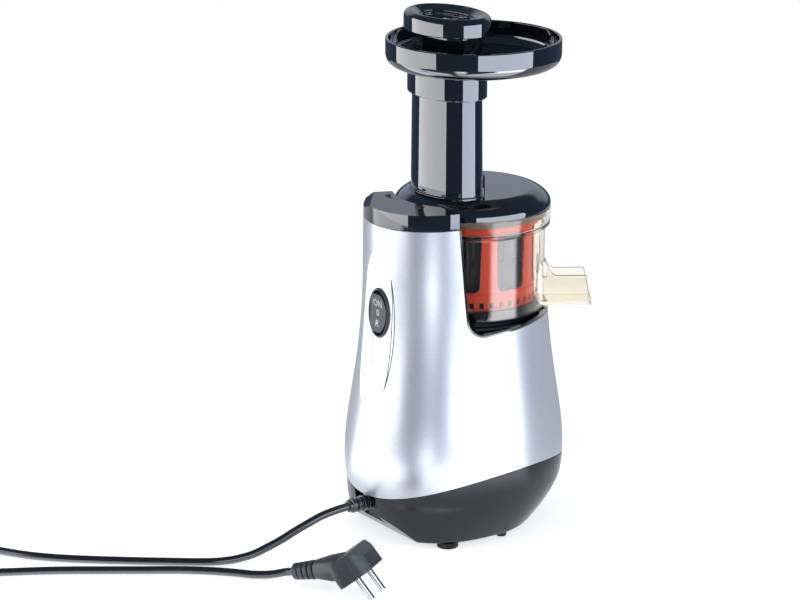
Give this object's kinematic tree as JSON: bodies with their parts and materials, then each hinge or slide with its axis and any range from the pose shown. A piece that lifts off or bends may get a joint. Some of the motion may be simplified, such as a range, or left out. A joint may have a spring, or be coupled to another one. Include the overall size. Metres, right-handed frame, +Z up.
{
  "type": "cold press juicer",
  "caption": "Vertical cold press juicer: tall silver body, clear amber bowl with auger, strainer and wiper, black lid with feed chute, tray and pusher, mains cord.",
  "frame": {"origin": "on the floor under the vertical axis of the oval housing", "axes": "+Z up; -Y to the front, where the bowl stands and the spouts point; +Y to the rear, with the switch and the cord"},
  "size_m": [0.3088, 0.518, 0.396],
  "materials": {
    "silver_coat": "metallic silver coat, satin",
    "black_gloss": "high gloss black",
    "satin_grey": "satin dark grey",
    "amber_clear": "clear amber, polished",
    "orange_red": "orange-red, polished",
    "strainer_dark": "satin",
    "mesh_steel": "fine perforated steel",
    "silicone": "translucent silicone, matte",
    "black_rubber": "matte black rubber",
    "cord_rubber": "semi-gloss dark grey",
    "steel": "plain steel",
    "copper_wound": "varnished copper winding",
    "gear_nylon": "natural nylon",
    "brass": "plain brass",
    "board_green": "circuit board",
    "film_cream": "capacitor film",
    "signal_red": "micro switch body",
    "tie_white": "nylon tie"
  },
  "bodies": {
    "base_unit": {"housing": "silver_coat", "switch_panel": "silver_coat", "base": "satin_grey", "rear_cover": "black_gloss", "cover_marks": "black_gloss", "bowl_seat": "black_gloss", "seat_seal": "black_rubber", "feet": "black_rubber", "base_screws": "steel", "motor_can": "steel", "motor_bracket": "steel", "stator": "copper_wound", "gearbox_cup": "satin_grey", "gearbox_lid": "satin_grey", "gear_pins": "steel", "shaft_bearing": "brass", "shaft_seal": "black_rubber", "circuit_board": "board_green", "capacitor": "film_cream", "safety_switch": "signal_red", "switch_bezel": "black_gloss", "cord_clamp": "satin_grey", "cord_boot": "black_rubber", "cord_lead": "cord_rubber", "cord_coil": "cord_rubber", "cord_tail": "cord_rubber", "cord_tie": "tie_white", "plug": "cord_rubber", "plug_pins": "steel"},
    "rotor_group": {"rotor": "steel", "motor_fan": "satin_grey", "motor_pinion": "steel"},
    "first_gear": {"gear_one": "gear_nylon"},
    "second_gear": {"gear_two": "gear_nylon"},
    "output_drive": {"output_gear": "brass", "drive_shaft": "steel"},
    "switch_rocker": {"rocker": "satin_grey"},
    "juicing_bowl": {"bowl": "amber_clear", "bowl_floor": "black_gloss", "pulp_seal": "silicone", "strainer": "strainer_dark", "strainer_mesh": "mesh_steel"},
    "idler": {"wiper_idler": "gear_nylon"},
    "wiper_cage": {"wiper": "orange_red", "wiper_blades": "silicone"},
    "auger_screw": {"auger": "black_gloss", "auger_blades": "black_gloss"},
    "gasket_ring": {"lid_gasket": "silicone"},
    "lid_group": {"lid": "black_gloss", "auger_bush": "brass"},
    "feed_tray": {"tray": "black_gloss"},
    "pusher_group": {"pusher": "black_gloss", "pusher_cap": "black_gloss"}
  },
  "joints": [
    {"name": "rotor_spin", "type": "hinge", "parent": "base_unit", "child": "rotor_group", "pos_m": [0, 0.014, 0.066], "axis": [0, 0, 1], "continuous": true},
    {"name": "first_gear_spin", "type": "hinge", "parent": "base_unit", "child": "first_gear", "pos_m": [0.01239, 0.03571, 0.11], "axis": [0, 0, 1], "continuous": true},
    {"name": "second_gear_spin", "type": "hinge", "parent": "base_unit", "child": "second_gear", "pos_m": [0.02378, 0.01234, 0.12], "axis": [0, 0, 1], "continuous": true},
    {"name": "output_spin", "type": "hinge", "parent": "base_unit", "child": "output_drive", "pos_m": [0, -0.016, 0.13], "axis": [0, 0, 1], "continuous": true},
    {"name": "switch_rock", "type": "hinge", "parent": "base_unit", "child": "switch_rocker", "pos_m": [0, 0.06436, 0.17481], "axis": [1, 0, 0], "range_deg": [-8, 8]},
    {"name": "bowl_lift", "type": "slide", "parent": "base_unit", "child": "juicing_bowl", "axis": [0, 0, 1], "range_m": [0, 0.11]},
    {"name": "idler_spin", "type": "hinge", "parent": "juicing_bowl", "child": "idler", "pos_m": [-0.02494, -0.0016, 0.168], "axis": [0, 0, 1], "continuous": true},
    {"name": "wiper_spin", "type": "hinge", "parent": "juicing_bowl", "child": "wiper_cage", "pos_m": [0, -0.016, 0.2], "axis": [0, 0, 1], "continuous": true},
    {"name": "auger_spin", "type": "hinge", "parent": "juicing_bowl", "child": "auger_screw", "pos_m": [0, -0.016, 0.2], "axis": [0, 0, 1], "continuous": true},
    {"name": "lid_twist", "type": "hinge", "parent": "juicing_bowl", "child": "gasket_ring", "pos_m": [0, -0.016, 0.243], "axis": [0, 0, 1], "range_deg": [0, 20]},
    {"name": "lid_lift", "type": "slide", "parent": "gasket_ring", "child": "lid_group", "axis": [0, 0, 1], "range_m": [0, 0.1]},
    {"name": "tray_lift", "type": "slide", "parent": "lid_group", "child": "feed_tray", "axis": [0, 0, 1], "range_m": [0, 0.08]},
    {"name": "pusher_lift", "type": "slide", "parent": "feed_tray", "child": "pusher_group", "axis": [0, 0, 1], "range_m": [0, 0.1]}
  ],
  "couplings": [
    {"joint": "first_gear_spin", "follows": "rotor_spin", "ratio": -0.25},
    {"joint": "second_gear_spin", "follows": "rotor_spin", "ratio": 0.075},
    {"joint": "output_spin", "follows": "rotor_spin", "ratio": -0.0175},
    {"joint": "auger_spin", "follows": "rotor_spin", "ratio": -0.0175},
    {"joint": "idler_spin", "follows": "rotor_spin", "ratio": 0.014},
    {"joint": "wiper_spin", "follows": "rotor_spin", "ratio": 0.005}
  ]
}
